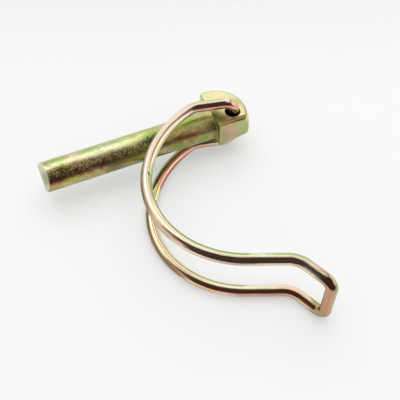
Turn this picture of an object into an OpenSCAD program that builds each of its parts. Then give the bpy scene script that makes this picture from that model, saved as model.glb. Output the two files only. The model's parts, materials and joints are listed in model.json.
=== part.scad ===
// Lynch pin for round tube: a round shank with a flattened dome head, and a spring
// wire bail that hangs in the head's cross hole and swings round to close over the tip.
// The shank lies along X with its tip towards -X. The origin is where the shank meets
// the flat underside of the head, and the bail turns about an axis along Z.

/* [Shank] */
// Diameter of the shank
shank_d = 10; // [8:0.5:14]
// Length from the underside of the head to the tip
shank_l = 59; // [54:0.5:60]
// Chamfer round the edge of the tip
tip_chamfer = 1; // [0.4:0.1:2]
// Radius of the fillet where the shank meets the head
root_fillet = 0.5; // [0.3:0.1:1]

/* [Head] */
// Radius of the domed head before its flats are formed
dome_r = 11.4; // [10:0.1:13]
// Height of the dome's centre above the underside of the head
dome_lift = 1.1; // [0:0.1:2]
// Thickness of the head between its two parallel flats
head_t = 10; // [8:0.5:12]
// Distance from the shank's axis to the flat on the head's side
side_flat = 6.4; // [5:0.1:8]
// Chamfer along both edges of the side flat
side_chamfer = 0.4; // [0.3:0.1:1.2]
// Angle at which the bevel on its lower edge widens, away from the shank
bevel_a = 7; // [2:0.5:10]

/* [Cross hole] */
// Diameter of the cross hole
hole_d = 5; // [4.6:0.1:6]
// Distance from the underside of the head to the hole's centre
hole_from_root = 6.6; // [5:0.1:7.5]
// Distance from the shank's axis to the hole's centre, towards the side flat
hole_offset = 1.7; // [0:0.1:2]

/* [Bail wire] */
// Diameter of the spring wire
wire_d = 3.5; // [2.5:0.1:3.8]
// Gap between the wire and each flat of the head
leg_clearance = 2.25; // [1:0.05:4]
// Gap left between the wire and the hole's wall, on the side that it rests against
seat_gap = 0.25; // [0.1:0.05:0.4]
// Distance that each end of the wire reaches into the cross hole
end_reach = 4; // [2:0.5:4.5]
// Radius of the bend from the hole into each leg, on the wire's centre line
end_bend_r = 3.8; // [3:0.1:4]

/* [Bail shape] */
// Angle between the first stretch of the bail and the shank
open_angle = 13; // [0:1:40]
// Length of that stretch, from the hinge axis to the first bend
lead_l = 11.7; // [10:0.1:16]
// Radius of the first bend
lead_bend_r = 6.3; // [4:0.1:10]
// Angle of the first bend
lead_bend_a = 32; // [20:1:40]
// Radius of the slack curve between the first bend and the hoop
flank_r = 37.5; // [30:0.5:45]
// Angle of the slack curve
flank_a = 43; // [35:1:50]
// Radius of the hoop that lies round the tube
hoop_r = 29; // [27:0.5:33]
// Angle of the hoop
hoop_a = 95.5; // [90:0.5:105]
// Length of the straight after the hoop
run_l = 11; // [8:0.5:16]
// Radius of the outward bend of the thumb loop
kick_r = 7.7; // [5:0.1:10]
// Angle of the outward bend
kick_a = 43; // [35:1:50]
// Length from the outward bend to the crossbar
kick_l = 8.5; // [7:0.1:14]
// Radius of the two corners of the crossbar
corner_r = 3; // [2.5:0.1:4]
// Chamfer on the two ends of the wire
end_chamfer = 0.4; // [0.1:0.1:0.8]

/* [Hidden] */
$fn = 96;
join = 0.5;                               // how far the shank's root reaches into the head
bevel_lean = 55;                          // lean of the bevel from the head's parallel flats
nest = 1;                                 // how far the bent wire starts inside its own ends
nest_gap = 0.1;                           // how much narrower it is where it starts
wire_sides = 20;                          // sides of the wire's section
fine_turn = 15;                           // largest turn between rings in a tight bend
hoop_turn = 5;                            // largest turn between rings in a wide one
tight_r = 10;                             // radius below which a bend is tight

zinc = [0.74, 0.68, 0.42];
bright_zinc = [0.82, 0.72, 0.52];

leg_z = head_t / 2 + leg_clearance + wire_d / 2;
bend_z = leg_z - end_bend_r;              // height at which each end bends into its leg
end_z = head_t / 2 - end_reach;           // height of each end in the hole
hinge_x = hole_from_root + (hole_d - wire_d) / 2 - seat_gap;
hinge_y = -hole_offset;

// Half of the bail, from the bend outside the hole to the middle of the crossbar. A stretch is
// ["line", length], ["pitch", radius, angle] in the upright plane, or
// ["yaw", radius, angle] in the plane of the leg.
half_path = [
    ["pitch", end_bend_r, 90],
    ["line", lead_l - end_bend_r],
    ["yaw", lead_bend_r, lead_bend_a],
    ["yaw", flank_r, flank_a],
    ["yaw", hoop_r, hoop_a],
    ["line", run_l],
    ["yaw", kick_r, -kick_a],
    ["line", kick_l - corner_r],
    ["pitch", corner_r, 90],
    ["line", leg_z - corner_r],
];

function reversed(list) = [for (i = [len(list) - 1:-1:0]) list[i]];

// Vector v turned by angle a about the unit vector k.
function turned(v, k, a) = v * cos(a) + cross(k, v) * sin(a) + k * (k * v) * (1 - cos(a));

// A station on the wire is [place, direction, up]. This is the one reached after the given
// share of a stretch.
function reached(from, stretch, share = 1) =
    stretch[0] == "line"
    ? [from[0] + from[1] * stretch[1] * share, from[1], from[2]]
    : let (
        k = stretch[0] == "yaw" ? from[2] : cross(from[1], from[2]),
        a = stretch[2] * share,
        arm = cross(k, from[1]) * sign(stretch[2]) * stretch[1]
      )
      [from[0] + arm - turned(arm, k, a), turned(from[1], k, a), turned(from[2], k, a)];

function rings_in(stretch) =
    stretch[0] == "line" ? 1
    : ceil(abs(stretch[2]) / (stretch[1] < tight_r ? fine_turn : hoop_turn));

function stations(path, from, i = 0) =
    i == len(path) ? []
    : concat(
        [for (j = [1:rings_in(path[i])]) reached(from, path[i], j / rings_in(path[i]))],
        stations(path, reached(from, path[i]), i + 1)
      );

function ring(station, r) =
    let (across = cross(station[1], station[2]))
    [for (k = [0:wire_sides - 1])
        let (a = 360 * k / wire_sides)
        station[0] + r * (cos(a) * across + sin(a) * station[2])];

// Round wire along the stations, narrowed at both ends where it starts inside the ends that
// turn in the hole.
module wire(line) {
    last = len(line) - 1;
    first_in = [line[0][0] - line[0][1] * nest, line[0][1], line[0][2]];
    last_in = [line[last][0] + line[last][1] * nest, line[last][1], line[last][2]];
    points = [
        each ring(first_in, wire_d / 2 - nest_gap),
        for (s = line) each ring(s, wire_d / 2),
        each ring(last_in, wire_d / 2 - nest_gap),
    ];
    n = wire_sides;
    faces = [
        [for (k = [n - 1:-1:0]) k],
        for (i = [0:last + 1], k = [0:n - 1])
            [i * n + k, i * n + (k + 1) % n, (i + 1) * n + (k + 1) % n, (i + 1) * n + k],
        [for (k = [0:n - 1]) (last + 2) * n + k],
    ];
    polyhedron(points, faces, convexity = 8);
}

// The upper end of the wire, which turns in the cross hole.
module wire_end() {
    straight = bend_z - nest / 2 - end_z - end_chamfer;
    translate([0, 0, end_z]) {
        cylinder(d1 = wire_d - 2 * end_chamfer, d2 = wire_d, h = end_chamfer);
        translate([0, 0, end_chamfer]) cylinder(d = wire_d, h = straight);
    }
}

module bail() {
    start = [[0, 0, -bend_z], [0, 0, -1], [1, 0, 0]];
    path = concat(half_path, reversed(half_path));
    color(bright_zinc)
        translate([hinge_x, hinge_y, 0]) {
            wire_end();
            mirror([0, 0, 1]) wire_end();
            rotate([0, 0, 180 - open_angle]) wire(concat([start], stations(path, start)));
        }
}

module shank() {
    rotate([0, -90, 0]) {
        translate([0, 0, -join]) cylinder(d = shank_d, h = shank_l - tip_chamfer + join);
        translate([0, 0, shank_l - tip_chamfer])
            cylinder(d1 = shank_d, d2 = shank_d - 2 * tip_chamfer, h = tip_chamfer);
    }
}

// Fillet under the head, which ends at the head's two flats.
module root() {
    intersection() {
        rotate([0, -90, 0]) rotate_extrude()
            difference() {
                translate([shank_d / 2 - join, -join])
                    square([root_fillet + join, root_fillet + join]);
                translate([shank_d / 2 + root_fillet, root_fillet]) circle(r = root_fillet);
            }
        translate([-shank_d, -shank_d, -head_t / 2]) cube([2 * shank_d, 2 * shank_d, head_t]);
    }
}

// Section of the head across the shank: two flats, and the side flat with its chamfers.
module head_section() {
    half = head_t / 2;
    polygon([
        [dome_r, -half],
        [dome_r, half],
        [side_chamfer - side_flat, half],
        [-side_flat, half - side_chamfer],
        [-side_flat, side_chamfer - half],
        [side_chamfer - side_flat, -half],
    ]);
}

// What the bevel takes off along the lower edge of the side flat.
module bevel_cut() {
    side = 4 * dome_r;
    translate([0, -side_flat, side_chamfer - head_t / 2])
        rotate([-bevel_lean, 0, 0]) rotate([0, -bevel_a, 0])
            translate([-side / 2, -side / 2, -side]) cube(side);
}

module head() {
    difference() {
        intersection() {
            translate([dome_lift, 0, 0]) rotate([0, 90, 0]) sphere(r = dome_r);
            rotate([90, 0, 90]) linear_extrude(height = dome_lift + dome_r) head_section();
        }
        bevel_cut();
    }
}

module pin() {
    color(zinc)
        difference() {
            union() {
                shank();
                root();
                head();
            }
            translate([hole_from_root, -hole_offset, -head_t])
                cylinder(d = hole_d, h = 2 * head_t);
        }
}

pin();
bail();
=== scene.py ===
import json
import math

import bmesh
import bpy
from mathutils import Matrix, Vector


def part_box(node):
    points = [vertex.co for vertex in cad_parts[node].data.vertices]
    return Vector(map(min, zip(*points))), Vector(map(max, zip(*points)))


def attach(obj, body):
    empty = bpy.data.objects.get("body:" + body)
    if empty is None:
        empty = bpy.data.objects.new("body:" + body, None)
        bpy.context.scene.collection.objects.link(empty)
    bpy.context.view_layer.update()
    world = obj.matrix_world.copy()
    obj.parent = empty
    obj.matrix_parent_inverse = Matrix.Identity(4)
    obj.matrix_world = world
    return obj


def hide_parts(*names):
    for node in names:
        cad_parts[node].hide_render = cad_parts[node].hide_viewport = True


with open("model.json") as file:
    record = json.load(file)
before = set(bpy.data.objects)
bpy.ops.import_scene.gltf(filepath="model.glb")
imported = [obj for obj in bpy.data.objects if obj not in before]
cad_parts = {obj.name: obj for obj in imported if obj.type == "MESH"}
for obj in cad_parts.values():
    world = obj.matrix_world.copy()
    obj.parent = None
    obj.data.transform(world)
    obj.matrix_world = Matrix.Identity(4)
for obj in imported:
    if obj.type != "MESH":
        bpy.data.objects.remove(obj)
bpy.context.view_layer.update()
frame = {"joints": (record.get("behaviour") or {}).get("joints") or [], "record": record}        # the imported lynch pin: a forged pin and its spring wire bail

mm = 0.001
pinLow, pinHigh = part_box("pin")
bailLow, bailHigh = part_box("bail")
hinge = Vector(frame["joints"][0]["pos_m"])
shankMount = next(m for m in frame["record"]["mounts"] if m["name"] == "shank")
shankRadius = shankMount["dims"]["r_mm"] * mm
print("frame loaded: pin and bail, hinge at", tuple(round(v / mm, 2) for v in hinge), "mm")


def newPiece(name, bm):
    mesh = bpy.data.meshes.new(name)
    bmesh.ops.recalc_face_normals(bm, faces=bm.faces)
    for face in bm.faces:
        face.smooth = True
    bm.to_mesh(mesh)
    bm.free()
    piece = bpy.data.objects.new(name, mesh)
    bpy.context.scene.collection.objects.link(piece)
    return piece


def bakeModifiers(piece):
    bpy.context.view_layer.update()
    shown = piece.evaluated_get(bpy.context.evaluated_depsgraph_get())
    mesh = bpy.data.meshes.new_from_object(shown)
    piece.modifiers.clear()
    piece.data = mesh
    mesh.shade_smooth()


def extrudeEdges(bm, edges):           # gives the new vertices and the new edges between them
    made = bmesh.ops.extrude_edge_only(bm, edges=edges)["geom"]
    verts = [item for item in made if isinstance(item, bmesh.types.BMVert)]
    fresh = set(verts)
    rim = [item for item in made if isinstance(item, bmesh.types.BMEdge)
           and fresh.issuperset(item.verts)]
    return verts, rim


# The pin is one forging, a round shank under a flattened dome.

pinShape = {
    "rimTip": (1.5 * mm, 0.9 * mm),    # rounding of the tip, along and across the shank
    "fillet": 0.5 * mm,            # between the shank and the head's underside
    "rounding": (6, 8),            # steps round the fillet and round the tip's rim
    "shankSteps": 128,
    "domeSteps": (160, 120),       # round the dome, and over it
    "chamferSide": 0.4 * mm,       # along the two edges of the side flat
    "bevel": (55, 7),              # lean and widening of the bevel on its lower edge, in degrees
    "holeWidth": 5.0 * mm,
    "holeFromRoot": 6.6 * mm,      # from the head's underside to the hole's centre
    "holeSteps": 96,
    "stub": 2.0 * mm,              # how far the shank's mesh runs on inside the head
    "voxel": 0.195 * mm,           # of the remesh that joins the shank and the head
    "softening": 7,                # rounds of smoothing, which round the edges of the forging
}


def spinShank(shape):
    r = shankRadius
    filletSteps, rimSteps = shape["rounding"]
    profile = [(shape["stub"], 0), (shape["stub"], r), (0, r + shape["fillet"])]
    for step in range(1, filletSteps + 1):                         # the fillet under the head
        a = math.radians(90 * step / filletSteps)
        profile.append((-shape["fillet"] * (1 - math.cos(a)),
                        r + shape["fillet"] * (1 - math.sin(a))))
    length, depth = shape["rimTip"]
    for step in range(rimSteps + 1):                               # the worn rim of the tip
        a = math.radians(90 * step / rimSteps)
        profile.append((pinLow.x + length * (1 - math.sin(a)), r - depth * (1 - math.cos(a))))
    profile.append((pinLow.x, 0))
    bm = bmesh.new()
    verts = [bm.verts.new((x, 0, z)) for x, z in profile]
    edges = [bm.edges.new(pair) for pair in zip(verts, verts[1:])]
    bmesh.ops.spin(bm, geom=verts + edges, cent=(0, 0, 0), axis=(1, 0, 0), dvec=(0, 0, 0),
                   angle=2 * math.pi, steps=shape["shankSteps"], use_merge=True)
    bmesh.ops.remove_doubles(bm, verts=bm.verts, dist=0.001 * mm)
    return newPiece("shankForm", bm)


def sliceOff(bm, place, outward):
    cut = bmesh.ops.bisect_plane(bm, geom=bm.verts[:] + bm.edges[:] + bm.faces[:], dist=1e-7,
                                 plane_co=place, plane_no=outward, clear_outer=True)
    rim = [item for item in cut["geom_cut"] if isinstance(item, bmesh.types.BMEdge)]
    bmesh.ops.edgeloop_fill(bm, edges=rim)


def cutHead(shape):
    radius = pinHigh.y
    around, over = shape["domeSteps"]
    bm = bmesh.new()
    bmesh.ops.create_uvsphere(bm, u_segments=around, v_segments=over, radius=radius)
    bmesh.ops.translate(bm, verts=bm.verts, vec=(pinHigh.x - radius, 0, 0))
    sliceOff(bm, (0, 0, 0), (-1, 0, 0))                            # the underside
    for side in (1, -1):
        sliceOff(bm, (0, 0, side * pinHigh.z), (0, 0, side))       # the two parallel flats
    sliceOff(bm, (0, pinLow.y, 0), (0, -1, 0))                     # the side flat
    for side in (1, -1):
        edge = (0, pinLow.y + shape["chamferSide"], side * pinHigh.z)
        sliceOff(bm, edge, (0, -1, side))
    lean, widen = (math.radians(a) for a in shape["bevel"])
    outward = (math.sin(widen), -math.cos(widen) * math.sin(lean),
               -math.cos(widen) * math.cos(lean))
    sliceOff(bm, (0, pinLow.y, shape["chamferSide"] - pinHigh.z), outward)
    return newPiece("headForm", bm)


def drillHead(head, shape):
    bm = bmesh.new()
    radius = shape["holeWidth"] / 2
    bmesh.ops.create_cone(bm, cap_ends=True, segments=shape["holeSteps"], radius1=radius,
                          radius2=radius, depth=4 * pinHigh.z)
    bmesh.ops.translate(bm, verts=bm.verts, vec=(shape["holeFromRoot"], hinge.y, 0))
    drill = newPiece("drillForm", bm)
    cut = head.modifiers.new("hole", "BOOLEAN")
    cut.operation, cut.solver, cut.object = "DIFFERENCE", "EXACT", drill
    bakeModifiers(head)
    bpy.data.objects.remove(drill)


def forgePin(shape):
    shank = spinShank(shape)
    head = cutHead(shape)
    drillHead(head, shape)
    bm = bmesh.new()
    bm.from_mesh(shank.data)
    bm.from_mesh(head.data)
    for used in (shank, head):
        bpy.data.objects.remove(used)
    pin = newPiece("forgedPin", bm)
    fuse = pin.modifiers.new("fuse", "REMESH")
    fuse.mode, fuse.voxel_size = "VOXEL", shape["voxel"]
    soften = pin.modifiers.new("soften", "SMOOTH")
    soften.factor, soften.iterations = 0.5, shape["softening"]
    bakeModifiers(pin)
    return pin


# The bail is one length of spring wire, bent.

bailShape = {
    "wireWidth": 3.5 * mm,
    "sides": 40,                   # of the wire's section
    "ringGap": 0.9 * mm,           # longest stretch between two rings
    "ringTurn": 5,                 # largest turn between two rings, in degrees
    "endHeight": 1.0 * mm,         # height of each end inside the hole
    "endChamfer": 0.4 * mm,
    "endBend": 3.8 * mm,           # radius of the bend from the hole into each leg
    "openAngle": 13,               # between each leg's first stretch and the shank
    "lead": 11.7 * mm,             # that stretch, from the hinge
    "leadBend": (6.3 * mm, 32),    # radius and angle of each bend
    "flank": (37.5 * mm, 43),
    "hoop": (29.0 * mm, 95.5),
    "run": 11.0 * mm,              # the straight after the hoop
    "kick": (7.7 * mm, 43),        # outward into the thumb loop
    "kickLength": 8.5 * mm,
    "corner": 3.0 * mm,            # radius of the crossbar's two corners
}


def wireStretches(shape):
    leg = bailHigh.z - shape["wireWidth"] / 2                      # height of each leg's centre
    half = [                           # from an end in the hole to the middle of the crossbar
        ("line", leg - shape["endBend"] - shape["endHeight"] - shape["endChamfer"]),
        ("pitch", shape["endBend"], 90),
        ("line", shape["lead"] - shape["endBend"]),
        ("yaw", *shape["leadBend"]),
        ("yaw", *shape["flank"]),
        ("yaw", *shape["hoop"]),
        ("line", shape["run"]),
        ("yaw", shape["kick"][0], -shape["kick"][1]),
        ("line", shape["kickLength"] - shape["corner"]),
        ("pitch", shape["corner"], 90),
        ("line", leg - shape["corner"]),
    ]
    return half + half[::-1]


def nextRing(bm, ring, move, length):
    flow = bm.verts.layers.float_vector["wireFlow"]
    verts, rim = extrudeEdges(bm, ring)
    bmesh.ops.transform(bm, matrix=move, verts=verts)
    for vert in verts:
        vert[flow] = vert[flow] + Vector((length, 0, 0))
    return rim


def closeEnd(bm, ring, shape):         # chamfers one end of the wire and closes it
    verts = list(dict.fromkeys(vert for edge in ring for vert in edge.verts))
    centre = sum((vert.co for vert in verts), Vector()) / len(verts)
    share = 1 - shape["endChamfer"] / (shape["wireWidth"] / 2)
    shrink = Matrix.Diagonal((share, share, 1, 1))
    inward = Vector((0, 0, shape["endChamfer"] * (1 if centre.z < 0 else -1)))
    move = Matrix.Translation(centre + inward) @ shrink @ Matrix.Translation(-centre)
    bmesh.ops.edgeloop_fill(bm, edges=nextRing(bm, ring, move, shape["endChamfer"]))


def bendWire(shape):
    bm = bmesh.new()
    flow = bm.verts.layers.float_vector.new("wireFlow")            # along the wire, and round it
    radius = shape["wireWidth"] / 2
    bmesh.ops.create_circle(bm, segments=shape["sides"], radius=radius)
    for vert in bm.verts:
        vert[flow] = (0, vert.co.y / radius, vert.co.x / radius)
    place = Vector((0, 0, -shape["endHeight"] - shape["endChamfer"]))
    along, up = Vector((0, 0, -1)), Vector((1, 0, 0))
    bmesh.ops.translate(bm, verts=bm.verts, vec=place)
    first = ring = bm.edges[:]
    for kind, *size in wireStretches(shape):
        if kind == "line":
            length, turn = size[0], Matrix()
            steps = max(1, math.ceil(length / shape["ringGap"]))
            move = Matrix.Translation(along * (length / steps))
        else:                          # a bend in the leg's plane, or upright across it
            bend, angle = size
            length = bend * math.radians(abs(angle))
            axis = up if kind == "yaw" else along.cross(up)
            centre = place + axis.cross(along) * math.copysign(bend, angle)
            steps = math.ceil(max(abs(angle) / shape["ringTurn"], length / shape["ringGap"]))
            turn = Matrix.Rotation(math.radians(angle / steps), 4, axis)
            move = Matrix.Translation(centre) @ turn @ Matrix.Translation(-centre)
        for _ in range(steps):
            ring = nextRing(bm, ring, move, length / steps)
            place = move @ place
            along, up = turn.to_3x3() @ along, turn.to_3x3() @ up
    closeEnd(bm, first, shape)
    closeEnd(bm, ring, shape)
    swing = Matrix.Rotation(math.radians(180 - shape["openAngle"]), 4, "Z")
    bmesh.ops.transform(bm, matrix=Matrix.Translation(hinge) @ swing, verts=bm.verts)
    print("wire bent:", round(max(vert[flow].x for vert in bm.verts) / mm, 1), "mm long")
    return newPiece("springBail", bm)


def addNode(tree, kind, settings=None, inputs=None):
    node = tree.nodes.new(kind)
    for name, value in (settings or {}).items():
        setattr(node, name, value)
    for name, value in (inputs or {}).items():
        socket = node.inputs[name]
        if isinstance(value, bpy.types.NodeSocket):
            tree.links.new(value, socket)
        else:
            socket.default_value = value
    return node


def addMath(tree, operation, a, b=0.0, c=0.0, clamp=False):
    node = addNode(tree, "ShaderNodeMath", {"operation": operation, "use_clamp": clamp},
                   {0: a, 1: b, 2: c})
    return node.outputs[0]


def multiply(tree, a, b):
    return addMath(tree, "MULTIPLY", a, b)


def addShares(tree, total, *parts):    # the total and a share of each part
    for part, share in parts:
        total = addMath(tree, "ADD", total, multiply(tree, part, share))
    return total


def sway(tree, noise, reach):          # noise as a shift to and fro, with this reach in all
    return addMath(tree, "MULTIPLY_ADD", noise, reach, -reach / 2)


def vectorMath(tree, operation, a, b):
    node = addNode(tree, "ShaderNodeVectorMath", {"operation": operation}, {0: a, 1: b})
    return node.outputs["Value" if operation in ("DISTANCE", "DOT_PRODUCT") else "Vector"]


def splitVector(tree, vector):
    node = addNode(tree, "ShaderNodeSeparateXYZ", None, {0: vector})
    return node.outputs["X"], node.outputs["Y"], node.outputs["Z"]


def mapRange(tree, value, low, high, toLow=0.0, toHigh=1.0):
    node = addNode(tree, "ShaderNodeMapRange", None,
                   {"Value": value, "From Min": low, "From Max": high,
                    "To Min": toLow, "To Max": toHigh})
    return node.outputs["Result"]


def smoothBand(tree, value, low, high):
    node = addNode(tree, "ShaderNodeMapRange", {"interpolation_type": "SMOOTHSTEP"},
                   {"Value": value, "From Min": low, "From Max": high})
    return node.outputs["Result"]


def spanMask(tree, value, rise, fall):             # comes in over one band and goes over another
    return multiply(tree, smoothBand(tree, value, *rise), smoothBand(tree, value, *fall))


def sphereMask(tree, place, centre, radius, soft):
    gap = vectorMath(tree, "DISTANCE", place, centre)
    return smoothBand(tree, gap, radius + soft, radius)


def facingMask(tree, facing, toward, start, full):
    return smoothBand(tree, vectorMath(tree, "DOT_PRODUCT", facing, toward), start, full)


def addNoise(tree, vector, scale, detail=2.0, roughness=0.5, distortion=0.0, shift=(0, 0, 0)):
    stretched = addNode(tree, "ShaderNodeMapping", None,
                        {"Vector": vector, "Location": shift, "Scale": scale}).outputs[0]
    return addNode(tree, "ShaderNodeTexNoise", None,
                   {"Vector": stretched, "Scale": 1.0, "Detail": detail, "Roughness": roughness,
                    "Distortion": distortion}).outputs[0]


def mixValue(tree, factor, a, b):
    node = addNode(tree, "ShaderNodeMix", {"data_type": "FLOAT"}, {0: factor, 2: a, 3: b})
    return node.outputs[0]


def mixColor(tree, factor, a, b):
    node = addNode(tree, "ShaderNodeMix", {"data_type": "RGBA"}, {0: factor, 6: a, 7: b})
    return node.outputs[2]


def paint(tree, shade, layer, mask):   # a layer is its colour and its strength
    color, strength = layer
    return mixColor(tree, multiply(tree, mask, strength), shade, color)


def addRamp(tree, value, tones, low, high):
    ramp = addNode(tree, "ShaderNodeValToRGB", None, {0: mapRange(tree, value, low, high)})
    stops = ramp.color_ramp.elements
    while len(stops) < len(tones):
        stops.new(0.5)
    for stop, (place, color) in zip(stops, tones):
        stop.position, stop.color = (place - low) / (high - low), color
    return ramp.outputs["Color"]


def newGroup(name, inputs, outputs):
    group = bpy.data.node_groups.new(name, "ShaderNodeTree")
    for label, kind in inputs:
        group.interface.new_socket(label, in_out="INPUT", socket_type=kind)
    for label, kind in outputs:
        group.interface.new_socket(label, in_out="OUTPUT", socket_type=kind)
    return group, group.nodes.new("NodeGroupInput"), group.nodes.new("NodeGroupOutput")


def useGroup(tree, group, inputs):
    return addNode(tree, "ShaderNodeGroup", {"node_tree": group}, inputs)


def newMaterial(name, roughness, metallic=1.0):
    material = bpy.data.materials.new(name)
    material.use_nodes = True
    shader = material.node_tree.nodes["Principled BSDF"]
    shader.inputs["Metallic"].default_value = metallic
    shader.inputs["Roughness"].default_value = roughness
    return material, material.node_tree, shader


# The plating is yellow passivated zinc, gold with green, pink and olive films.

def rgb(red, green, blue):
    def linear(v):
        v = v / 255
        return v / 12.92 if v <= 0.04045 else ((v + 0.055) / 1.055) ** 2.4
    return (linear(red), linear(green), linear(blue), 1)


# Colours that the passivate film takes as it thickens
filmColors = [
    (0.00, rgb(214, 206, 142)),    # straw
    (0.25, rgb(224, 210, 150)),    # pale gold
    (0.42, rgb(226, 194, 162)),    # pink
    (0.55, rgb(190, 170, 128)),    # tan
    (0.70, rgb(170, 188, 112)),    # green
    (0.85, rgb(196, 206, 124)),    # lime
    (1.00, rgb(146, 144, 84)),     # olive
]


def makeFilmGroup():
    group, start, end = newGroup("passivateFilm", [("Film", "NodeSocketFloat")],
                                 [("Color", "NodeSocketColor")])
    tone = addRamp(group, start.outputs["Film"], filmColors, 0, 1)
    group.links.new(tone, end.inputs["Color"])
    return group


filmGroup = makeFilmGroup()


def addFilm(tree, noise, low, high):
    film = useGroup(tree, filmGroup, {"Film": smoothBand(tree, noise, low, high)})
    return film.outputs["Color"]


# Film colours round the shank, by degrees up from the side that faces -Y, with a painted
# highlight band high on that side and painted shade low on it
tipFilmAndLight = [
    (-180, rgb(176, 166, 108)), (-120, rgb(160, 150, 96)), (-60, rgb(186, 170, 118)),
    (-20, rgb(154, 162, 104)), (-4, rgb(174, 166, 110)), (6, rgb(184, 158, 106)),
    (15, rgb(156, 116, 74)), (26, rgb(116, 80, 52)), (40, rgb(154, 116, 80)),
    (52, rgb(208, 180, 118)), (63, rgb(244, 236, 164)), (75, rgb(252, 250, 206)),
    (86, rgb(208, 212, 164)), (97, rgb(156, 168, 116)), (108, rgb(176, 188, 136)),
    (122, rgb(200, 200, 166)), (150, rgb(200, 186, 140)), (180, rgb(176, 166, 108)),
]
rootFilmAndLight = [
    (-180, rgb(160, 158, 92)), (-110, rgb(176, 160, 108)), (-50, rgb(146, 152, 88)),
    (-8, rgb(138, 140, 80)), (4, rgb(142, 134, 78)), (14, rgb(130, 102, 62)),
    (24, rgb(132, 88, 54)), (34, rgb(196, 146, 90)), (44, rgb(236, 206, 122)),
    (56, rgb(248, 246, 150)), (68, rgb(234, 240, 138)), (80, rgb(196, 208, 110)),
    (92, rgb(182, 190, 112)), (104, rgb(210, 196, 150)), (116, rgb(200, 182, 142)),
    (150, rgb(180, 180, 110)), (180, rgb(160, 158, 92)),
]

# Film patches on the shank, the pale cream ones painted highlights: millimetres from the head,
# degrees up from the near side, half length in millimetres, colour and strength
shankFilmAndHighlights = [
    (-52.8, 106, 3.6, rgb(150, 184, 104), 0.85), (-47.2, 102, 3.0, rgb(226, 204, 176), 0.8),
    (-42.0, 106, 4.2, rgb(142, 180, 94), 0.8), (-36.0, 108, 3.0, rgb(200, 186, 150), 0.5),
    (-30.5, 107, 5.5, rgb(176, 190, 114), 0.8), (-23.0, 104, 5.0, rgb(170, 188, 102), 0.8),
    (-56.6, 93, 1.2, rgb(150, 128, 66), 0.75), (-57.8, 74, 1.6, rgb(255, 240, 224), 0.7),
    (-36.0, 82, 4.5, rgb(250, 238, 200), 0.5), (-42.0, 76, 4.0, rgb(255, 252, 200), 0.6),
    (-31.0, 82, 4.5, rgb(252, 252, 186), 0.55), (-25.5, 84, 3.6, rgb(232, 246, 160), 0.8),
    (-56.7, 25, 2.9, rgb(26, 32, 20), 0.88), (-52.9, 30, 4.2, rgb(104, 44, 38), 0.6),
    (-56.4, 8, 2.8, rgb(216, 136, 100), 0.6), (-49.0, 6, 4.4, rgb(186, 180, 76), 0.55),
    (-53.0, 58, 3.4, rgb(176, 166, 62), 0.6), (-44.6, 54, 5.0, rgb(236, 198, 144), 0.6),
    (-40.5, 90, 3.0, rgb(216, 252, 188), 0.6), (-55.2, 48, 2.4, rgb(196, 166, 116), 0.45),
    (-6.5, 124, 5.5, rgb(156, 190, 96), 0.8), (-3.0, 84, 3.0, rgb(138, 170, 72), 0.6),
    (-39.6, 32, 3.4, rgb(140, 44, 48), 0.8), (-22.8, 60, 5.0, rgb(36, 82, 14), 0.94),
    (-28.0, 28, 5.6, rgb(124, 132, 44), 0.8), (-36.5, 0, 6.4, rgb(106, 108, 64), 0.8),
    (-13.5, 105, 3.2, rgb(255, 240, 226), 0.95), (-14.0, 89, 2.6, rgb(208, 166, 132), 0.85),
    (-9.0, 88, 5.5, rgb(172, 202, 100), 0.85), (-11.0, 34, 5.0, rgb(180, 112, 68), 0.65),
    (-8.0, 16, 3.2, rgb(128, 92, 52), 0.6), (-2.0, 62, 5.0, rgb(196, 194, 104), 0.85),
    (-2.0, 34, 4.5, rgb(140, 112, 66), 0.75), (-14.0, 4, 4.0, rgb(126, 140, 74), 0.7),
    (-5.0, 0, 4.0, rgb(130, 152, 72), 0.75), (-18.0, -100, 7.0, rgb(206, 150, 120), 0.7),
    (-44.0, -120, 8.0, rgb(150, 170, 90), 0.7), (-30.0, 170, 7.0, rgb(210, 160, 130), 0.7),
    (-10.0, 150, 5.0, rgb(160, 178, 92), 0.7),
]

shankLook = {
    "wobble": 34, "fray": 16,          # how far the bands wander round the shank, in degrees
    "wander": 16 * mm,                 # and along it
    "toRoot": (-34 * mm, -20 * mm),    # where the tip's colours give way to the root's
    "filmShare": 0.45,
    "squeeze": 0.55,                   # a patch is round on a shank squeezed to this share
    "patchFray": 6 * mm,
    "patchEdge": (0.62, 0.1),          # from bare to full, in half lengths from its centre
    "glintBand": ((12, 34), (76, 58)),    # degrees over which the band of painted shade and painted glints comes and goes
    "glintBandPale": (28, 46),            # and over which its painted glints come in
    "etchFade": (-32 * mm, -22 * mm),  # where it fades towards the head
    "glintBandLeft": 0.35,                  # and how much is left of it there
    "dull": ((28, 42), (84, 68)),      # degrees of the dull band, which lies nearer the head
    "dullFrom": (-30 * mm, -20 * mm),  # where it comes in
}
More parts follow.
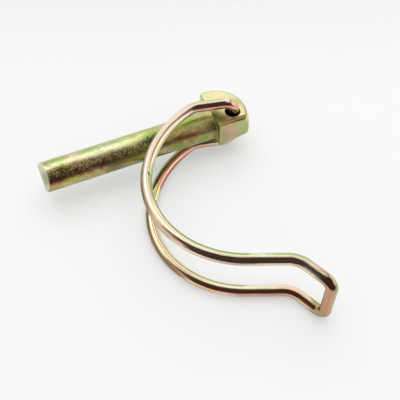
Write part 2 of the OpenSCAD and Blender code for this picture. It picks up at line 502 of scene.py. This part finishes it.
# A layer is a colour and its strength.
headLook = {
    "wander": 4 * mm,                  # how far the films wander
    "flat": rgb(250, 242, 192), "flatCrown": rgb(238, 236, 188),
    "corner": (rgb(136, 162, 78), 1), "rim": (rgb(226, 188, 138), 0.6),
    "green": (rgb(190, 206, 138), 0.8), "rimShade": (rgb(136, 132, 88), 0.7),
    "root": (rgb(108, 110, 42), 1), "gritty": (rgb(206, 178, 104), 0.34),
    "sideRoot": rgb(160, 160, 102), "sideMiddle": rgb(190, 156, 134),
    "sideCrown": rgb(156, 186, 112),
    "edgeHighlight": rgb(240, 214, 136), "edgeDark": rgb(88, 60, 28), "edgeGold": rgb(168, 126, 50),
    "under": rgb(112, 118, 56), "underLow": rgb(148, 162, 90), "underFar": rgb(204, 204, 154),
    "filmShare": 0.24,
}
pinLook = {
    "roughness": 0.26, "wear": (0.05, 0.08),       # how much smoother and rougher it has worn
    "metallic": 0.78,
    "fleckScale": (2500, 2500, 2500),   # flecks per metre, for the bumps and for the painted shade and glints
    "tip": rgb(222, 224, 196), "tipWarm": rgb(216, 208, 178),
    "tipReach": 1.7 * mm,          # how far the matt skin of the tip comes up its near side
    "tipToward": (0, -0.56, 0.83), # the way that this side faces
    # the colours for the corner under the head and for the inside of the hole are painted shade
    "creviceShade": (headLook["under"], 0.8), "hole": (rgb(42, 30, 20), 1),
    # the flecks' dark and pale colours are painted shade and painted glints
    "fleckDark": (rgb(56, 34, 18), 0.85), "fleckGlint": (rgb(250, 212, 148), 0.75),
    "dust": (rgb(120, 108, 66), 0.22),
    "bump": (0.55, 0.02 * mm),     # strength and depth
}


def makeShankGroup():
    group, start, end = newGroup("shankFilm", [("Place", "NodeSocketVector")],
                                 [("Color", "NodeSocketColor"), ("Flecked", "NodeSocketFloat"),
                                  ("Pale", "NodeSocketFloat"), ("Dull", "NodeSocketFloat")])
    look = shankLook
    place = start.outputs["Place"]
    x, y, z = splitVector(group, place)
    turn = addMath(group, "ARCTAN2", z, multiply(group, y, -1.0))
    turn = multiply(group, turn, 180 / math.pi)
    drift = addNoise(group, place, (90, 130, 130))
    ragged = addNoise(group, place, (520, 900, 900), 3.0, 0.6, shift=(2, 0, 1))
    shift = addMath(group, "ADD", sway(group, drift, look["wobble"]),
                    sway(group, ragged, look["fray"]))
    turn = addMath(group, "ADD", turn, shift)
    along = addMath(group, "ADD", x, sway(group, drift, look["wander"]))

    tip = addRamp(group, turn, tipFilmAndLight, -180, 180)
    root = addRamp(group, turn, rootFilmAndLight, -180, 180)
    shade = mixColor(group, smoothBand(group, along, *look["toRoot"]), tip, root)
    film = addNoise(group, place, (170, 90, 90), 3.0, 0.55, 0.4, shift=(5, 3, 0))
    where = addNoise(group, place, (120, 160, 160), shift=(0, 7, 4))
    layer = addFilm(group, film, 0.32, 0.72), look["filmShare"]
    shade = paint(group, shade, layer, smoothBand(group, where, 0.42, 0.66))

    squeezed = vectorMath(group, "MULTIPLY", place, (look["squeeze"], 1, 1))
    fray = multiply(group, addMath(group, "SUBTRACT", ragged, 0.5), look["patchFray"])
    bare, full = look["patchEdge"]
    for fromHead, angle, half, color, strength in shankFilmAndHighlights:
        a = math.radians(angle)
        centre = (look["squeeze"] * fromHead * mm, -shankRadius * math.cos(a),
                  shankRadius * math.sin(a))
        gap = addMath(group, "ADD", vectorMath(group, "DISTANCE", squeezed, centre), fray)
        patch = smoothBand(group, gap, bare * half * mm, full * half * mm)
        shade = paint(group, shade, (color, strength), patch)

    # the band where the shank mirrors the dark, which gets painted shade and painted glints in
    # flecks
    fade = mapRange(group, x, *look["etchFade"], 1.0, look["glintBandLeft"])
    flecked = multiply(group, spanMask(group, turn, *look["glintBand"]), fade)
    pale = multiply(group, flecked, smoothBand(group, turn, *look["glintBandPale"]))
    dull = multiply(group, spanMask(group, turn, *look["dull"]),
                    smoothBand(group, along, *look["dullFrom"]))
    for label, value in (("Color", shade), ("Flecked", flecked), ("Pale", pale), ("Dull", dull)):
        group.links.new(value, end.inputs[label])
    return group


def makeHeadGroup():
    group, start, end = newGroup("headFilm", [("Place", "NodeSocketVector"),
                                              ("Facing", "NodeSocketVector")],
                                 [("Color", "NodeSocketColor")])
    look = headLook
    place, facing = start.outputs["Place"], start.outputs["Facing"]
    _, depth, height = splitVector(group, place)
    fromAxis = vectorMath(group, "DISTANCE", vectorMath(group, "MULTIPLY", place, (1, 1, 0)),
                          (pinHigh.x - pinHigh.y, 0, 0))           # from the dome's upright axis
    drift = addNoise(group, place, (150, 190, 190))
    drift = addNode(group, "ShaderNodeCombineXYZ", None, {0: drift, 1: drift, 2: drift})
    shift = vectorMath(group, "MULTIPLY", drift.outputs[0], (look["wander"],) * 3)
    place = vectorMath(group, "ADD", place, shift)
    place = vectorMath(group, "ADD", place, (-look["wander"] / 2,) * 3)
    x, y, z = splitVector(group, place)                            # places with the wander in them

    def band(value, low, high):                                    # in millimetres
        return smoothBand(group, value, low * mm, high * mm)

    # The two flats, from the root to the crown
    shade = mixColor(group, band(x, 7, 12), look["flat"], look["flatCrown"])
    shade = paint(group, shade, look["corner"], multiply(group, band(y, 0.5, -5), band(x, 6, 2)))
    shade = paint(group, shade, look["rim"], band(x, 9.6, 11))
    green = sphereMask(group, place, (9 * mm, 1.2 * mm, pinHigh.z), 0.6 * mm, 2.4 * mm)
    shade = paint(group, shade, look["green"], green)
    # painted shade along the upper flat's rounded rim, near the dome's edge
    rimShade = multiply(group, band(fromAxis, 9.75, 10.1), band(height, 4.2, 4.8))
    shade = paint(group, shade, look["rimShade"], rimShade)
    root = multiply(group, multiply(group, band(x, 6, 1), band(y, 3, 0)), band(y, -5, -3))
    shade = paint(group, shade, look["root"], root)

    # The side flat, and the rounded edge between it and the upper flat, with a painted highlight
    # at its root end that turns to painted shade towards the crown
    side = mixColor(group, band(x, 0.5, 4), look["sideRoot"], look["sideMiddle"])
    side = mixColor(group, band(x, 5, 9), side, look["sideCrown"])
    shade = mixColor(group, facingMask(group, facing, (0, -1, 0), 0.7, 0.94), shade, side)
    edge = mixColor(group, band(x, 4, 8), look["edgeHighlight"], look["edgeDark"])
    onEdge = multiply(group, facingMask(group, facing, (0, -0.71, 0.71), 0.86, 0.97),
                      band(depth, -4.5, -5.5))
    shade = mixColor(group, onEdge, shade, edge)

    # Grit, and the golden strip that it leaves along that edge
    grit = addNoise(group, place, (900, 1300, 1300), 3.0, 0.6, shift=(3, 1, 1))
    gritty = smoothBand(group, grit, 0.5, 0.66)
    shade = paint(group, shade, look["gritty"], gritty)
    golden = addMath(group, "ADD", gritty, band(x, 6.5, 4), clamp=True)
    strip = mixColor(group, golden, look["edgeDark"], look["edgeGold"])
    onStrip = multiply(group, facingMask(group, facing, (0, 0, 1), 0.6, 0.9),
                       band(depth, -4.5, -4.9))
    shade = mixColor(group, multiply(group, onStrip, band(x, 0, 2)), shade, strip)

    # The underside, and the film over it all
    under = mixColor(group, band(z, 1, -3), look["under"], look["underLow"])
    under = mixColor(group, band(y, 3, 6), under, look["underFar"])
    shade = mixColor(group, facingMask(group, facing, (-1, 0, 0), 0.6, 0.9), shade, under)
    film = addNoise(group, place, (260, 260, 260), 3.0, 0.55, 0.3, shift=(1, 5, 2))
    shade = mixColor(group, look["filmShare"], shade, addFilm(group, film, 0.3, 0.75))
    group.links.new(shade, end.inputs["Color"])
    return group


shankGroup = makeShankGroup()
headGroup = makeHeadGroup()


def makePinPlating():
    look = pinLook
    material, tree, shader = newMaterial("platedForging", look["roughness"])
    coords = addNode(tree, "ShaderNodeTexCoord")
    place, facing = coords.outputs["Object"], coords.outputs["Normal"]
    x, _, z = splitVector(tree, place)
    shank = useGroup(tree, shankGroup, {"Place": place})
    head = useGroup(tree, headGroup, {"Place": place, "Facing": facing})
    onHead = smoothBand(tree, x, -0.45 * mm, -0.1 * mm)
    shade = mixColor(tree, onHead, shank.outputs["Color"], head.outputs["Color"])

    # The tip's matt skin, which runs a little way up the shank's near side
    near = addMath(tree, "MAXIMUM", vectorMath(tree, "DOT_PRODUCT", facing, look["tipToward"]))
    fromTip = addMath(tree, "ADD", x, multiply(tree, near, -look["tipReach"]))
    onTip = smoothBand(tree, fromTip, pinLow.x + 0.45 * mm, pinLow.x + 0.2 * mm)
    mottle = addNoise(tree, place, (500, 500, 500), 3.0, 0.6)
    shade = mixColor(tree, onTip, shade, mixColor(tree, mottle, look["tip"], look["tipWarm"]))

    # Painted shade in the corner under the head
    creviceShade = multiply(tree, smoothBand(tree, x, -1.9 * mm, -1.2 * mm),
                       addMath(tree, "SUBTRACT", 1.0, onHead))
    creviceShade = multiply(tree, creviceShade, smoothBand(tree, z, 4.6 * mm, 3.4 * mm))
    shade = paint(tree, shade, look["creviceShade"], creviceShade)

    # Flecks of painted shade and painted glints on the shank, dust all over, and painted shade
    # inside the hole
    onShank = addMath(tree, "SUBTRACT", 1.0, addMath(tree, "MAXIMUM", onHead, onTip))
    flecked, pale, dull = (multiply(tree, shank.outputs[label], onShank)
                           for label in ("Flecked", "Pale", "Dull"))
    fleck = addNoise(tree, place, look["fleckScale"], 3.0, 0.65)
    clump = addMath(tree, "SUBTRACT", addNoise(tree, place, (380, 620, 620)), 0.5)
    spot = addShares(tree, fleck, (clump, 0.32))
    dark = multiply(tree, smoothBand(tree, spot, 0.53, 0.45), flecked)
    shade = paint(tree, shade, look["fleckDark"], dark)
    light = multiply(tree, smoothBand(tree, spot, 0.55, 0.63), pale)
    shade = paint(tree, shade, look["fleckGlint"], light)
    grain = addNoise(tree, place, (900, 2600, 2600), 2.0, 0.6)
    shade = paint(tree, shade, look["dust"], smoothBand(tree, grain, 0.62, 0.76))
    # painted shade inside the hole
    flat = vectorMath(tree, "MULTIPLY", place, (1, 1, 0))
    hole = sphereMask(tree, flat, (pinShape["holeFromRoot"], hinge.y, 0),
                      pinShape["holeWidth"] / 2 + 0.02 * mm, 0.12 * mm)
    shade = paint(tree, shade, look["hole"], hole)
    tree.links.new(shade, shader.inputs["Base Color"])

    smoother, rougher = look["wear"]
    wearAndHighlight = addNoise(tree, place, (420, 420, 420), 3.0, 0.6)
    rough = mapRange(tree, wearAndHighlight, 0.3, 0.7, look["roughness"] - smoother,
                     look["roughness"] + rougher)
    rough = addShares(tree, rough, (flecked, 0.1), (onHead, 0.07), (dull, 0.08), (onTip, 0.25))
    tree.links.new(rough, shader.inputs["Roughness"])
    plain = addShares(tree, multiply(tree, onTip, 0.3), (hole, 0.5), (dull, 0.26))
    tree.links.new(addMath(tree, "SUBTRACT", look["metallic"], plain), shader.inputs["Metallic"])

    swell = addNoise(tree, place, (160, 420, 420))
    relief = multiply(tree, fleck, addMath(tree, "MULTIPLY_ADD", flecked, 0.9, 0.35))
    relief = addShares(tree, relief, (swell, 2.2))
    strength, depth = look["bump"]
    bump = addNode(tree, "ShaderNodeBump", None,
                   {"Strength": strength, "Distance": depth, "Height": relief})
    tree.links.new(bump.outputs[0], shader.inputs["Normal"])
    return material


print("plating mixed: film, shank and head")


# Ways that the tinted sides of the wire face
upward, downward = (0.29, 0.755, 0.588), (-0.29, -0.755, -0.588)
tipward, crownward = (-0.934, 0.358, 0), (0.934, -0.358, 0)
outward, core = (-0.21, -0.55, 0.81), (-0.266, -0.694, 0.669)
farTipward, nearward = (-0.455, 0.787, 0.416), (-0.656, -0.755, 0)
overward, kickCore = (-0.38, -0.06, 0.923), (-0.54, -0.24, 0.807)
# Tinted stretches of the wire: film colours, partly painted highlights and painted reflections of
# the dark, laid on by the way each side faces. Each lies on the lower or the upper leg, from and
# to so many millimetres along it from the hinge, on the side of the wire that faces one way. Then
# come how squarely it has to face that way before the tint starts, the tint's colour and its
# strength.
wireFilmAndLight = [
    ("upper", 3, 24, core, 0.78, rgb(236, 150, 152), 0.75),
    ("upper", 1, 24, downward, 0.35, rgb(224, 150, 128), 0.8),
    ("upper", 3, 15, upward, 0.45, rgb(206, 214, 146), 0.75),
    ("upper", -14, 3, crownward, 0.0, rgb(226, 150, 116), 0.75),
    ("upper", 15, 44, outward, 0.5, rgb(250, 222, 202), 0.6),
    ("upper", 24, 48, tipward, 0.44, rgb(112, 140, 84), 0.85),
    ("upper", 20, 44, crownward, 0.62, rgb(222, 208, 146), 0.65),
    ("upper", 48, 70, tipward, 0.5, rgb(136, 92, 74), 0.85),
    ("upper", 42, 62, crownward, 0.5, rgb(178, 198, 104), 0.85),
    ("upper", 58, 92, outward, 0.4, rgb(252, 236, 192), 0.55),
    ("upper", 58, 92, farTipward, 0.82, rgb(196, 150, 124), 0.5),
    ("upper", 58, 92, upward, 0.66, rgb(136, 178, 84), 0.85),
    ("upper", 60, 90, downward, 0.5, rgb(200, 160, 148), 0.6),
    ("upper", 54, 74, core, 0.66, rgb(236, 184, 170), 0.7),
    ("upper", 74, 118, core, 0.78, rgb(246, 172, 160), 0.75),
    ("upper", 86, 110, downward, 0.5, rgb(206, 196, 160), 0.5),
    ("upper", 97, 109, upward, 0.6, rgb(158, 200, 112), 0.85),
    ("upper", 109, 115, upward, 0.6, rgb(226, 164, 152), 0.6),
    ("upper", 104, 118, downward, 0.5, rgb(206, 140, 124), 0.6),
    ("lower", 8, 38, outward, 0.2, rgb(250, 190, 168), 0.9),
    ("lower", 8, 38, overward, 0.8, rgb(108, 54, 30), 0.88),
    ("lower", 8, 38, crownward, 0.6, rgb(170, 104, 80), 0.8),
    ("lower", 8, 40, farTipward, 0.5, rgb(118, 146, 88), 0.95),
    ("lower", 37, 48, outward, 0.0, rgb(226, 216, 130), 0.6),
    ("lower", 46, 84, outward, 0.2, rgb(252, 228, 182), 0.65),
    ("lower", 45, 74, tipward, 0.4, rgb(112, 80, 40), 0.85),
    ("lower", 45, 74, tipward, 0.78, rgb(172, 164, 112), 0.8),
    ("lower", 45, 74, crownward, 0.72, rgb(148, 168, 92), 0.85),
    ("lower", 56, 84, downward, 0.45, rgb(216, 160, 122), 0.7),
    ("lower", 60, 92, upward, 0.72, rgb(150, 166, 88), 0.7),
    ("lower", 60, 118, core, 0.78, rgb(240, 144, 112), 0.8),
    ("lower", 88, 118, downward, 0.35, rgb(196, 150, 134), 0.75),
    ("lower", 100, 116, outward, 0.6, rgb(244, 196, 150), 0.5),
    ("lower", 101, 116, kickCore, 0.8, rgb(224, 124, 88), 0.75),
    ("lower", 112, 119, upward, 0.4, rgb(128, 176, 66), 0.85),
]
for leg in ("upper", "lower"):                     # the crossbar, which both legs share
    wireFilmAndLight.append((leg, 113, 132, outward, -0.9, rgb(190, 160, 120), 0.85))
    wireFilmAndLight.append((leg, 113, 132, nearward, 0.8, rgb(206, 134, 116), 0.7))
    wireFilmAndLight.append((leg, 112, 132, tipward, 0.6, rgb(172, 152, 104), 0.65))
    wireFilmAndLight.append((leg, 112, 132, crownward, 0.5, rgb(168, 172, 110), 0.65))
wireFilmAndLight.append(("lower", 113, 120, downward, 0.2, rgb(166, 168, 92), 0.6))

wireLook = {
    "roughness": 0.13, "wear": (0.02, 0.1),        # how much smoother and rougher it has worn
    "cream": rgb(250, 242, 216), "blush": rgb(248, 228, 208),
    "filmShare": 0.14,
    "shaded": (rgb(190, 182, 146), 0.6),           # what faces down
    "drawn": (rgb(156, 128, 92), 0.35),            # fine lines that the drawing die left
    "streak": (rgb(140, 108, 70), 0.38),
    "wearAndHighlight": (rgb(250, 244, 230), 1),               # a painted highlight on the end bend
    "highlightAt": (hinge.x - 2.2 * mm, hinge.y + 0.3 * mm, bailHigh.z - 0.3 * mm),
    "highlightSize": (0.5 * mm, 0.7 * mm),              # its radius and its soft edge
    "nick": (rgb(34, 30, 16), 1),
    "nickAt": (-29.0 * mm, -19.87 * mm, 10.5 * mm),
    "nickSize": (0.12 * mm, 0.26 * mm),
    "nickSqueeze": (1, 0.3, 1),                    # it runs along the wire
    "length": 261 * mm, "toHinge": 5.97 * mm,      # end to end, and before a leg's count starts
    "tintFade": 2,                                 # half of the fade at each end of a tint, in mm
    "tintEdge": 0.2,                               # and how soon it is full round the wire
    "tintFray": 9 * mm,
    "bump": (0.45, 0.024 * mm),                    # strength and depth
}


def makeWirePlating():
    look = wireLook
    material, tree, shader = newMaterial("platedWire", look["roughness"])
    flow = addNode(tree, "ShaderNodeAttribute", {"attribute_name": "wireFlow"}).outputs["Vector"]
    coords = addNode(tree, "ShaderNodeTexCoord")
    place, facing = coords.outputs["Object"], coords.outputs["Normal"]
    along = splitVector(tree, flow)[0]
    other = addMath(tree, "SUBTRACT", look["length"], along)
    fray = sway(tree, addNoise(tree, flow, (260, 1.1, 1.1), 3.0, 0.6), look["tintFray"])
    reach = {}                         # along each leg from the hinge, frayed
    for leg, start in (("lower", along), ("upper", other)):
        fromHinge = addMath(tree, "SUBTRACT", start, look["toHinge"])
        reach[leg] = addMath(tree, "ADD", fromHinge, fray)

    drift = addNoise(tree, flow, (75, 0.5, 0.5), distortion=0.2)
    shade = mixColor(tree, smoothBand(tree, drift, 0.35, 0.65), look["cream"], look["blush"])
    film = addNoise(tree, flow, (130, 0.8, 0.8), distortion=0.3, shift=(3, 0, 0))
    shade = mixColor(tree, look["filmShare"], shade, addFilm(tree, film, 0.3, 0.75))
    shade = paint(tree, shade, look["shaded"], facingMask(tree, facing, (0, 0, -1), -0.1, 0.5))
    fade = look["tintFade"]
    for leg, start, stop, toward, square, color, strength in wireFilmAndLight:
        span = spanMask(tree, reach[leg], ((start - fade) * mm, (start + fade) * mm),
                        ((stop + fade) * mm, (stop - fade) * mm))
        side = facingMask(tree, facing, toward, square, square + look["tintEdge"])
        shade = paint(tree, shade, (color, strength), multiply(tree, span, side))

    drawn = addNoise(tree, flow, (160, 9, 9), 3.0, 0.6)
    shade = paint(tree, shade, look["drawn"], smoothBand(tree, drawn, 0.54, 0.68))
    streak = addNoise(tree, flow, (45, 5, 5), shift=(1, 4, 2))
    shade = paint(tree, shade, look["streak"], smoothBand(tree, streak, 0.54, 0.62))
    # painted highlight on the end bend, also rougher and less metallic there
    wearAndHighlight = sphereMask(tree, place, look["highlightAt"], *look["highlightSize"])
    shade = paint(tree, shade, look["wearAndHighlight"], wearAndHighlight)
    squeezed = vectorMath(tree, "MULTIPLY", place, look["nickSqueeze"])
    centre = tuple(a * b for a, b in zip(look["nickAt"], look["nickSqueeze"]))
    nick = sphereMask(tree, squeezed, centre, *look["nickSize"])
    shade = paint(tree, shade, look["nick"], nick)
    tree.links.new(shade, shader.inputs["Base Color"])

    smoother, rougher = look["wear"]
    rough = mapRange(tree, drawn, 0.35, 0.7, look["roughness"] - smoother,
                     look["roughness"] + rougher)
    tree.links.new(addShares(tree, rough, (wearAndHighlight, 0.25)), shader.inputs["Roughness"])
    tree.links.new(addMath(tree, "SUBTRACT", 1.0, multiply(tree, wearAndHighlight, 0.7)),
                   shader.inputs["Metallic"])
    pores = addNoise(tree, place, (1500, 1500, 1500), 3.0, 0.65)
    strength, depth = look["bump"]
    bump = addNode(tree, "ShaderNodeBump", None,
                   {"Strength": strength, "Distance": depth,
                    "Height": addShares(tree, drawn, (pores, 0.8))})
    tree.links.new(bump.outputs[0], shader.inputs["Normal"])
    return material


# The view and the studio

view = {
    "azimuth": -20.99, "elevation": 54.0, "roll": -1.875,
    "distance": 219.2 * mm,        # from the hinge, along the line of sight
    "hingeRight": 11.35 * mm,      # where the hinge stands from the middle of the picture
    "hingeUp": 26.78 * mm,
    "lens": 58.32, "sensor": 36,
    "clip": (0.01, 20),
}
studio = {
    # Name, degrees round from the view and up, width, height, power, and whether it is for
    # mirroring or for the matt surfaces
    "lamps": [
        ("softboxBack", 180, 51, 1.5, 1.6, 5.2, True),
        ("softboxLeft", -120, 50, 1.3, 0.85, 2.35, True),
        ("softboxRight", 100, 18, 1.2, 0.7, 1.8, True),
        ("keyLight", 180, 75, 1.5, 1.5, 7.6, False),
    ],
    "lampDistance": 1.2,
    "dome": 0.32, "fill": 0.65,    # what metal mirrors overhead, and what lights the rest
    "horizon": 0.86,               # what is seen and mirrored below this band of heights
    "horizonBand": (0.28, 0.42),
    "floorSize": 3,                # half its width
    "floorNear": (0.96, 0.965, 0.965, 1), "floorFar": (0.87, 0.88, 0.885, 1),
    "floorFade": (0.01, 0.12),     # painted shade that deepens from near to far, away from the view
    "veil": 0.38,                  # share of plain white in the floor as it is seen
    "cardDistance": 0.26,
    "cardTop": 86,                 # how far over the card curves, in degrees
    "cardSides": (-0.33, 0.5),
    "apron": 0.107,                # how near it comes, along the floor
    "cardGlow": (0.045, 0.5),      # in its middle and at its two sides
    "cardFade": 0.65,              # how far out its sides begin to glow, as a share of their reach
}


def direction(azimuth, elevation):
    a, e = math.radians(azimuth), math.radians(elevation)
    return Vector((math.sin(a) * math.cos(e), -math.cos(a) * math.cos(e), math.sin(e)))


def turnToward(back, roll=0.0):        # how a camera or lamp is turned that has this way behind it
    right = Vector((0, 0, 1)).cross(back).normalized()
    up = back.cross(right)
    r = math.radians(roll)
    rolled = (right * math.cos(r) + up * math.sin(r), up * math.cos(r) - right * math.sin(r))
    return Matrix((*rolled, back)).transposed()


def setCamera():
    back = direction(view["azimuth"], view["elevation"])
    turn = turnToward(back, view["roll"])
    aside = turn @ Vector((view["hingeRight"], view["hingeUp"], 0))
    place = hinge + back * view["distance"] - aside
    data = bpy.data.cameras.new("benchView")
    data.lens, data.sensor_width = view["lens"], view["sensor"]
    data.clip_start, data.clip_end = view["clip"]
    camera = bpy.data.objects.new("benchView", data)
    camera.matrix_world = Matrix.Translation(place) @ turn.to_4x4()
    bpy.context.scene.collection.objects.link(camera)
    bpy.context.scene.camera = camera


def addLamp(name, aside, elevation, width, height, power, mirrored):
    data = bpy.data.lights.new(name, "AREA")
    data.shape, data.size, data.size_y = "RECTANGLE", width, height
    data.energy = power
    back = direction(view["azimuth"] + aside, elevation)
    place = Matrix.Translation(back * studio["lampDistance"])
    lamp = bpy.data.objects.new(name, data)
    lamp.matrix_world = place @ turnToward(back).to_4x4()
    bpy.context.scene.collection.objects.link(lamp)
    lamp.visible_camera = False
    lamp.visible_diffuse = not mirrored
    lamp.visible_glossy = mirrored


def addSeenRays(tree):
    rays = addNode(tree, "ShaderNodeLightPath")
    seen = addMath(tree, "MAXIMUM", rays.outputs["Is Camera Ray"], rays.outputs["Is Glossy Ray"])
    return addMath(tree, "MAXIMUM", seen, rays.outputs["Is Transmission Ray"])


def addFloor():
    bm = bmesh.new()
    bmesh.ops.create_grid(bm, x_segments=1, y_segments=1, size=studio["floorSize"])
    bmesh.ops.translate(bm, verts=bm.verts, vec=(0, 0, bailLow.z))
    floor = newPiece("floor", bm)
    material, tree, shader = newMaterial("paleFloor", 0.8, 0.0)
    shader.inputs["Specular IOR Level"].default_value = 0.1
    place = addNode(tree, "ShaderNodeTexCoord").outputs["Object"]
    away = vectorMath(tree, "DOT_PRODUCT", place, -direction(view["azimuth"], 0))
    shade = mixColor(tree, smoothBand(tree, away, *studio["floorFade"]),
                     studio["floorNear"], studio["floorFar"])
    tree.links.new(shade, shader.inputs["Base Color"])
    white = addNode(tree, "ShaderNodeEmission", None, {"Color": shade})
    blend = addNode(tree, "ShaderNodeMixShader", None,
                    {0: multiply(tree, addSeenRays(tree), studio["veil"]),
                     1: shader.outputs[0], 2: white.outputs[0]})
    tree.links.new(blend.outputs[0], tree.nodes["Material Output"].inputs["Surface"])
    floor.data.materials.append(material)


def setWorld():
    world = bpy.data.worlds.new("studio")
    bpy.context.scene.world = world
    world.use_nodes = True
    tree = world.node_tree
    height = splitVector(tree, addNode(tree, "ShaderNodeTexCoord").outputs["Generated"])[2]
    dome = mixValue(tree, smoothBand(tree, height, *studio["horizonBand"]),
                    studio["horizon"], studio["dome"])
    strength = mixValue(tree, addSeenRays(tree), studio["fill"], dome)
    backdrop = tree.nodes["Background"]
    backdrop.inputs["Color"].default_value = (1, 1, 1, 1)
    tree.links.new(strength, backdrop.inputs["Strength"])


def addDarkCard():                     # curves up and over the object, for its metal to mirror
    bm = bmesh.new()
    west, east = studio["cardSides"]
    ends = [bm.verts.new((side, bailLow.z + 1 * mm, studio["apron"])) for side in (west, east)]
    far, rim = extrudeEdges(bm, [bm.edges.new(ends)])
    for vert in far:
        vert.co.z = studio["cardDistance"]
    bmesh.ops.spin(bm, geom=far + rim, cent=(0, 0, 0), axis=(-1, 0, 0), dvec=(0, 0, 0),
                   angle=math.radians(studio["cardTop"]), steps=24)
    card = newPiece("darkCard", bm)
    card.matrix_world = turnToward(direction(view["azimuth"], 0)).to_4x4()
    material = bpy.data.materials.new("darkCard")
    material.use_nodes = True
    tree = material.node_tree
    tree.nodes.clear()
    x = splitVector(tree, addNode(tree, "ShaderNodeTexCoord").outputs["Object"])[0]
    sides = [smoothBand(tree, x, studio["cardFade"] * side, side) for side in (west, east)]
    glow = mixValue(tree, addMath(tree, "MAXIMUM", *sides), *studio["cardGlow"])
    shine = addNode(tree, "ShaderNodeEmission", None, {"Strength": glow})
    output = addNode(tree, "ShaderNodeOutputMaterial")
    tree.links.new(shine.outputs[0], output.inputs["Surface"])
    card.data.materials.append(material)
    card.visible_camera = card.visible_diffuse = card.visible_shadow = False
    card.visible_transmission = False


pin = forgePin(pinShape)
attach(pin, "pin")
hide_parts("pin")
pin.data.materials.clear()
pin.data.materials.append(makePinPlating())
print("pin forged:", len(pin.data.polygons), "faces")

bail = bendWire(bailShape)
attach(bail, "bail")
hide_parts("bail")
bail.data.materials.append(makeWirePlating())
print("bail made:", len(bail.data.polygons), "faces")

setCamera()
addFloor()
setWorld()
addDarkCard()
for lamp in studio["lamps"]:
    addLamp(*lamp)
bpy.context.scene.view_settings.view_transform = "Standard"
print("stage set")
